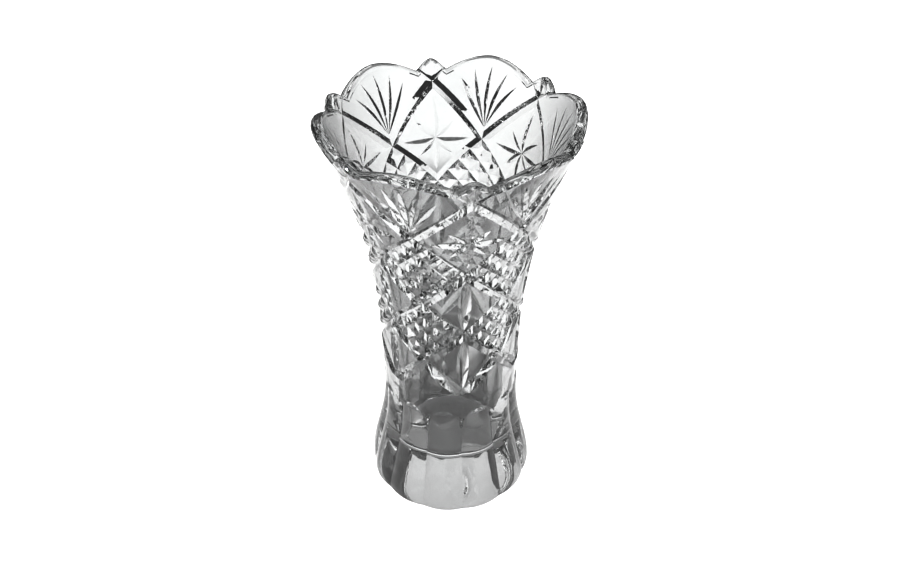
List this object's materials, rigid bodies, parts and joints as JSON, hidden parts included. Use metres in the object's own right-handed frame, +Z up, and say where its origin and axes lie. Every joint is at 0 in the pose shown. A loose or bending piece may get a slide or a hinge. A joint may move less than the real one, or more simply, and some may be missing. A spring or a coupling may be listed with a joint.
{
  "type": "cut crystal vase",
  "caption": "Flared crystal vase with a scalloped rim, V-cut diamond lattice, narrow waist, lobed foot and thick solid base, for water and cut flowers.",
  "frame": {"origin": "centre of the base, on the surface that the vase stands on", "axes": "+Z up along the vase's axis towards the mouth; -Y through the middle of one of the small peaked nubs between two scallops"},
  "size_m": [0.1112, 0.1096, 0.2],
  "materials": {
    "crystal": "polished"
  },
  "bodies": {
    "root": {"vase_body": "crystal"}
  },
  "joints": []
}
